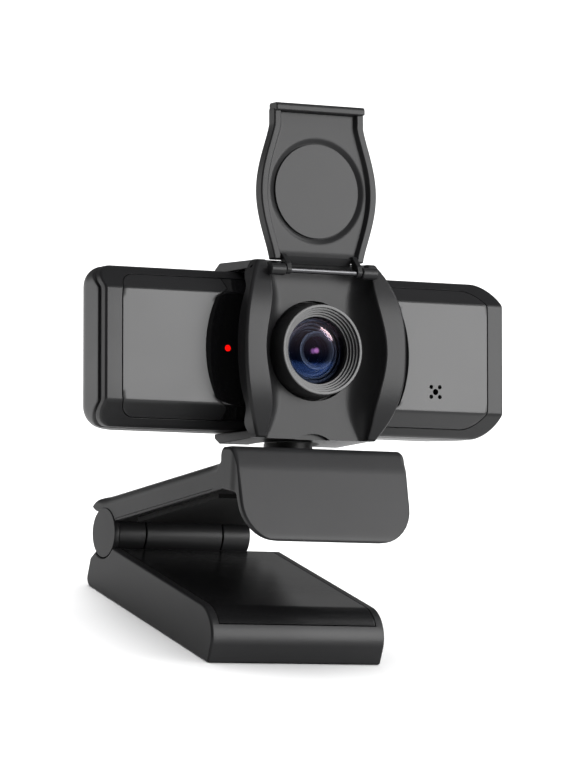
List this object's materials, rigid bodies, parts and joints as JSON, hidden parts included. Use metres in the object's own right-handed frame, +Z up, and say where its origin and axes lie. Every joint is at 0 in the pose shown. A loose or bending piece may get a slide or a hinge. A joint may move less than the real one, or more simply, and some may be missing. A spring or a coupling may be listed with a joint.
{
  "type": "webcam on folding clip stand",
  "caption": "Wide webcam head with a flip-up privacy lid, on a tilting neck and a folding monitor clip that stands on its flat leg.",
  "frame": {"origin": "middle of the bounding box at table level, under the clip's leg", "axes": "+Z up from the table, -Y the way the head faces, +X to the head's left as seen by the head, the viewer's right"},
  "size_m": [0.096, 0.0692, 0.1156],
  "materials": {
    "frame_plastic": "fine matte texture",
    "panel_plastic": "satin",
    "gloss_black": "high gloss",
    "case_plastic": "fine matte texture",
    "clip_plastic": "fine matte texture",
    "leg_cover_plastic": "semi-gloss",
    "cover_plastic": "fine matte texture",
    "lid_disc_plastic": "satin",
    "neck_plastic": "matte",
    "lens_black": "anti-glare black",
    "ring_plastic": "satin",
    "glass": "coated",
    "board": "solder mask",
    "chip": "moulded",
    "steel": "turned",
    "washer_brass": "rolled",
    "insert_brass": "turned",
    "rubber": "matte",
    "led_red": "clear red"
  },
  "bodies": {
    "leg": {"leg_shell": "clip_plastic", "leg_cover": "leg_cover_plastic", "leg_screws": "steel", "foot_pad": "rubber", "tripod_insert": "insert_brass", "hinge_pin": "steel", "hinge_cap": "clip_plastic", "hinge_washers": "washer_brass"},
    "arm": {"arm": "clip_plastic", "arm_pad": "rubber", "lip_pad": "rubber"},
    "neck": {"neck": "neck_plastic", "swivel_screw": "steel", "swivel_washer": "washer_brass"},
    "head": {"front_frame": "frame_plastic", "middle_panel": "gloss_black", "left_panel": "panel_plastic", "right_panel": "panel_plastic", "rear_shell": "case_plastic", "case_screws": "steel", "cable_gland": "rubber", "main_board": "board", "board_screws": "steel", "image_sensor": "chip", "video_chip": "chip", "cable_header": "chip", "lens_mount": "lens_black", "lens_barrel": "lens_black", "rear_lens": "glass", "front_lens": "glass", "lens_ring": "ring_plastic", "microphones": "steel", "mic_gaskets": "rubber", "mic_board": "board", "status_led": "led_red", "light_pipe": "led_red", "cover_frame": "cover_plastic", "lid_pin": "steel", "tilt_pin": "steel", "tilt_saddles": "neck_plastic", "tilt_washers": "washer_brass"},
    "lid": {"lid": "cover_plastic", "lid_disc": "lid_disc_plastic"}
  },
  "joints": [
    {"name": "clip_hinge", "type": "hinge", "parent": "leg", "child": "arm", "pos_m": [0, 0.02725, 0.013], "axis": [1, 0, 0], "range_deg": [-75, 23]},
    {"name": "head_swivel", "type": "hinge", "parent": "arm", "child": "neck", "pos_m": [0, -0.01077, 0.0426], "axis": [0, 0.309, 0.9511], "range_deg": [-35, 35]},
    {"name": "head_tilt", "type": "hinge", "parent": "neck", "child": "head", "pos_m": [0, -0.00876, 0.04878], "axis": [1, 0, 0], "range_deg": [-20, 4]},
    {"name": "lid_hinge", "type": "hinge", "parent": "head", "child": "lid", "pos_m": [0, -0.01394, 0.08201], "axis": [1, 0, 0], "range_deg": [0, 177]}
  ]
}
